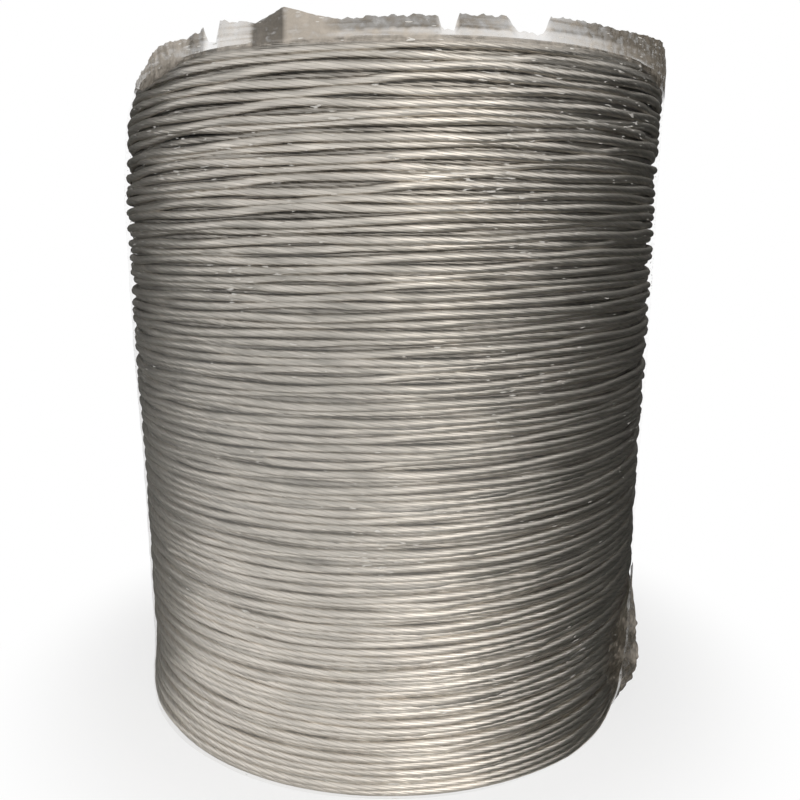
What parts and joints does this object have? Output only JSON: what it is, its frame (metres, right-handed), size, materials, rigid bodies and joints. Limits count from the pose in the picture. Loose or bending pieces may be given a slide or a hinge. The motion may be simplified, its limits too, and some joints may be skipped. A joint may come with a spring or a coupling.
{
  "type": "guy strand coil",
  "caption": "Hollow cylindrical coil of twisted galvanised steel guy strand standing on its end, with an open bore and a clear film wrap.",
  "frame": {"origin": "on the coil's axis, at the floor that it stands on", "axes": "+Z along the coil's axis, up; -Y faces the camera of the picture; the film's loose tail is on the +X side, towards -Y"},
  "size_m": [0.6028, 0.6028, 0.7127],
  "materials": {
    "zinc_strand": "bright galvanised, slightly dulled",
    "clear_film": "clear stretch film with wrinkles"
  },
  "bodies": {
    "root": {"strand_coil": "zinc_strand", "film_wrap": "clear_film"}
  },
  "joints": []
}
